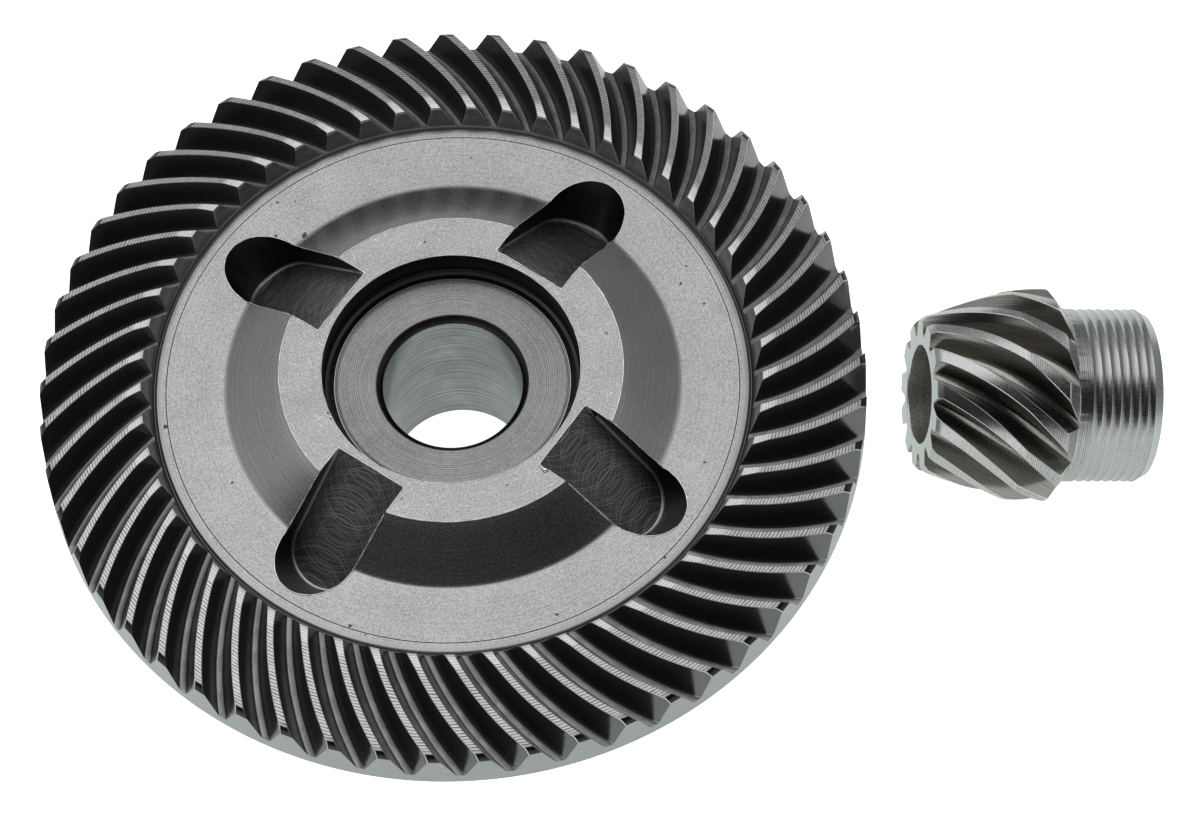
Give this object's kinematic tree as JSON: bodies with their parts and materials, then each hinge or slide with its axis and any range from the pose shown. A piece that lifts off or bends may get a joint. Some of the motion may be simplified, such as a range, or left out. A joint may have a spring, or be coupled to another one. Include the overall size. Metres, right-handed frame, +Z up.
{
  "type": "spiral bevel gear pair",
  "caption": "Spiral bevel gear pair: a wide crown wheel with a boss, radial pockets and a long bored hub, and a small tapered pinion with a ridged hub.",
  "frame": {"origin": "on the ground, under the middle of the pair's box", "axes": "+X from the crown wheel towards the pinion, +Z up along the crown wheel's axis, out of its toothed face"},
  "size_m": [0.1126, 0.0828, 0.0227],
  "materials": {
    "wheel_steel": "turned and ground hardened steel, light grey lands and faces, near-black tooth flanks",
    "pinion_steel": "turned hardened steel, bright ridged hub, brownish grey tooth flanks"
  },
  "bodies": {
    "wheel": {"crown_wheel": "wheel_steel"},
    "pinion": {"pinion": "pinion_steel"}
  },
  "joints": [
    {"name": "pinion_spin", "type": "hinge", "parent": "wheel", "child": "pinion", "pos_m": [0.03197, -0.00036, 0.01289], "axis": [0.9815, 0.0394, -0.1874], "continuous": true}
  ]
}
